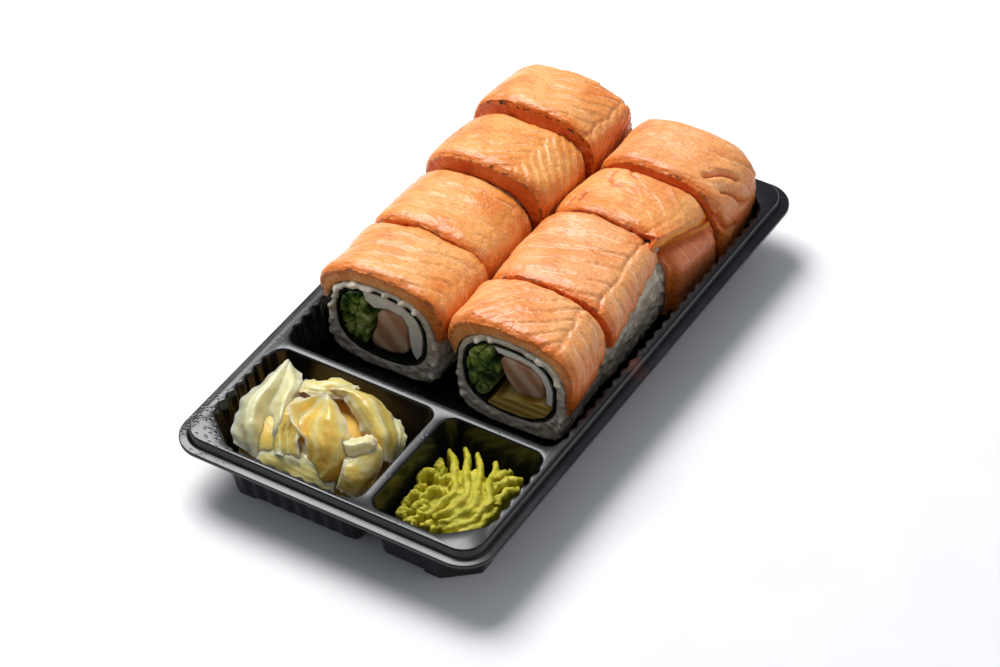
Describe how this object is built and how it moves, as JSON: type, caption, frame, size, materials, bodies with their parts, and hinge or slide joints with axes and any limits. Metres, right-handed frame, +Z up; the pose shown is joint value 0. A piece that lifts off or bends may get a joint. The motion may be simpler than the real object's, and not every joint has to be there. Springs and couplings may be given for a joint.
{
  "type": "takeaway sushi tray",
  "caption": "Black three-pocket takeaway tray holding two columns of cut rolls topped with seared salmon, with pickled ginger and wasabi paste in the small pockets.",
  "frame": {"origin": "on the ground under the middle of the tray: the bottom centre of the bounding box", "axes": "+X right across the tray's width, +Y along its length to the back, +Z up"},
  "size_m": [0.108, 0.194, 0.0449],
  "materials": {
    "tray_plastic": "thin black thermoformed polystyrene with a soft gloss",
    "salmon": "seared salmon: peach orange, pale fat lines, moist sheen, brown char dots on its cut edges",
    "rice": "cooked short-grain rice, translucent white and moist",
    "nori": "softened dried seaweed sheet, black green",
    "cucumber": "fresh cut green sticks, moist",
    "cooked_fish": "cooked fish, pale pinkish beige with faint flakes",
    "cream_cheese": "smooth soft cheese, off-white",
    "omelette": "pressed omelette, dull yellow",
    "ginger": "pickled ginger, pale translucent yellow slices, wet",
    "wasabi": "piped wasabi paste, yellow green, finely grainy and dull"
  },
  "bodies": {
    "root": {"tray": "tray_plastic", "rice_a1": "rice", "nori_a1": "nori", "salmon_a1": "salmon", "green_a1": "cucumber", "fish_a1": "cooked_fish", "cheese_a1": "cream_cheese", "rice_a2": "rice", "nori_a2": "nori", "salmon_a2": "salmon", "green_a2": "cucumber", "fish_a2": "cooked_fish", "cheese_a2": "cream_cheese", "rice_a3": "rice", "nori_a3": "nori", "salmon_a3": "salmon", "green_a3": "cucumber", "fish_a3": "cooked_fish", "cheese_a3": "cream_cheese", "rice_a4": "rice", "nori_a4": "nori", "salmon_a4": "salmon", "green_a4": "cucumber", "fish_a4": "cooked_fish", "cheese_a4": "cream_cheese", "rice_b1": "rice", "nori_b1": "nori", "salmon_b1": "salmon", "green_b1": "cucumber", "fish_b1": "cooked_fish", "cheese_b1": "cream_cheese", "omelette_b1": "omelette", "rice_b2": "rice", "nori_b2": "nori", "salmon_b2": "salmon", "green_b2": "cucumber", "fish_b2": "cooked_fish", "cheese_b2": "cream_cheese", "omelette_b2": "omelette", "rice_b3": "rice", "nori_b3": "nori", "salmon_b3": "salmon", "salmon_lower_b3": "salmon", "green_b3": "cucumber", "fish_b3": "cooked_fish", "cheese_b3": "cream_cheese", "omelette_b3": "omelette", "rice_b4": "rice", "nori_b4": "nori", "salmon_b4": "salmon", "green_b4": "cucumber", "fish_b4": "cooked_fish", "cheese_b4": "cream_cheese", "omelette_b4": "omelette", "ginger": "ginger", "wasabi": "wasabi"}
  },
  "joints": []
}
